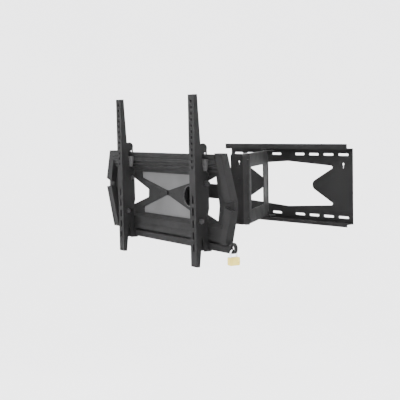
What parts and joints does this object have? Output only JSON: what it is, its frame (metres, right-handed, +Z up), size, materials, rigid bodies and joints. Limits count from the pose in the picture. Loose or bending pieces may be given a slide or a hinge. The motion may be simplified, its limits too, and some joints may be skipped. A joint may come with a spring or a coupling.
{
  "type": "full motion television wall mount",
  "caption": "Full motion television wall mount: slotted wall plate, folding two-part arm, swivelling screen plate with tilting rails and a locking bar with padlock.",
  "frame": {"origin": "centre of the wall plate at its back face, on the wall", "axes": "+X to the right as seen from the room, +Y into the wall, +Z up"},
  "size_m": [0.7507, 0.3657, 0.431],
  "materials": {
    "black_steel": "satin black powder coat",
    "zinc_steel": "dark zinc plate",
    "nylon": "moulded",
    "black_plastic": "fine texture",
    "grey_panel": "satin grey paint",
    "brass": "brushed",
    "chrome_steel": "polished"
  },
  "bodies": {
    "wall": {"wall_plate": "black_steel", "wall_hinge_tabs": "black_steel", "wall_hinge_pin": "zinc_steel", "wall_pin_rings": "zinc_steel"},
    "inner_arm": {"inner_arm_panel": "black_steel", "inner_arm_barrel": "black_steel", "inner_arm_bushes": "nylon", "elbow_lugs": "black_steel", "elbow_pin": "zinc_steel", "elbow_pin_caps": "zinc_steel", "inner_cable_clips": "black_plastic"},
    "outer_arm": {"outer_arm_panel": "black_steel", "elbow_barrel": "black_steel", "elbow_bushes": "nylon", "elbow_tension_bolt": "black_steel", "head_barrel": "black_steel", "head_bushes": "nylon", "outer_cable_clips": "black_plastic"},
    "yoke": {"swivel_yoke": "black_steel", "swivel_pin": "zinc_steel", "swivel_pin_rings": "zinc_steel", "level_hub": "zinc_steel", "level_bolt": "black_steel"},
    "head": {"screen_plate": "black_steel", "window_infills": "grey_panel", "level_clamp_screws": "black_steel", "left_end_cover": "black_steel", "right_end_cover": "black_steel", "end_cover_screws": "zinc_steel", "lock_lug": "black_steel", "lock_bar": "black_steel", "lock_bar_stop": "black_steel"},
    "left_hanger_body": {"left_hanger": "black_steel", "left_hanger_glides": "nylon", "left_tilt_pivot": "zinc_steel"},
    "right_hanger_body": {"right_hanger": "black_steel", "right_hanger_glides": "nylon", "right_tilt_pivot": "zinc_steel"},
    "left_rail_body": {"left_rail": "black_steel", "left_tilt_bolt": "zinc_steel"},
    "right_rail_body": {"right_rail": "black_steel", "right_tilt_bolt": "zinc_steel"},
    "left_knob_body": {"left_tilt_knob": "black_plastic"},
    "right_knob_body": {"right_tilt_knob": "black_plastic"},
    "shackle_body": {"shackle": "chrome_steel"},
    "padlock": {"padlock_body": "brass"},
    "key": {"key_cylinder": "chrome_steel"}
  },
  "joints": [
    {"name": "inner_arm_swing", "type": "hinge", "parent": "wall", "child": "inner_arm", "pos_m": [-0.0665, -0.024, 0], "axis": [0, 0, 1], "range_deg": [-34, 56]},
    {"name": "elbow_fold", "type": "hinge", "parent": "inner_arm", "child": "outer_arm", "pos_m": [0.06463, -0.21841, 0], "axis": [0, 0, -1], "range_deg": [-115, 32]},
    {"name": "head_swivel", "type": "hinge", "parent": "outer_arm", "child": "yoke", "pos_m": [-0.17128, -0.23038, 0], "axis": [0, 0, 1], "range_deg": [-65, 10]},
    {"name": "level", "type": "hinge", "parent": "yoke", "child": "head", "pos_m": [-0.17956, -0.28577, -0.016], "axis": [0.1478, 0.989, 0], "range_deg": [-3, 3]},
    {"name": "left_hanger_slide", "type": "slide", "parent": "head", "child": "left_hanger_body", "axis": [-0.989, 0.1478, 0], "range_m": [-0.1, 0.04]},
    {"name": "right_hanger_slide", "type": "slide", "parent": "head", "child": "right_hanger_body", "axis": [0.989, -0.1478, 0], "range_m": [-0.1, 0.04]},
    {"name": "left_tilt", "type": "hinge", "parent": "left_hanger_body", "child": "left_rail_body", "pos_m": [-0.37037, -0.29062, -0.074], "axis": [0.989, -0.1478, 0], "range_deg": [0, 12]},
    {"name": "right_tilt", "type": "hinge", "parent": "right_hanger_body", "child": "right_rail_body", "pos_m": [0.02524, -0.34974, -0.074], "axis": [0.989, -0.1478, 0], "range_deg": [0, 12]},
    {"name": "left_knob_turn", "type": "hinge", "parent": "left_rail_body", "child": "left_knob_body", "pos_m": [-0.38778, -0.27184, 0.02], "axis": [0.989, -0.1478, 0], "range_deg": [-180, 180]},
    {"name": "right_knob_turn", "type": "hinge", "parent": "right_rail_body", "child": "right_knob_body", "pos_m": [0.04738, -0.33687, 0.02], "axis": [0.989, -0.1478, 0], "range_deg": [-180, 180]},
    {"name": "padlock_swing", "type": "hinge", "parent": "head", "child": "shackle_body", "pos_m": [0.1487, -0.34226, -0.1369], "axis": [0.1478, 0.989, 0], "range_deg": [-35, 35]},
    {"name": "padlock_release", "type": "slide", "parent": "shackle_body", "child": "padlock", "axis": [0, 0, -1], "range_m": [0, 0.008]},
    {"name": "key_turn", "type": "hinge", "parent": "padlock", "child": "key", "pos_m": [0.1487, -0.34226, -0.1745], "axis": [0, 0, 1], "range_deg": [0, 90]}
  ],
  "couplings": [
    {"joint": "right_tilt", "follows": "left_tilt", "ratio": 1}
  ]
}
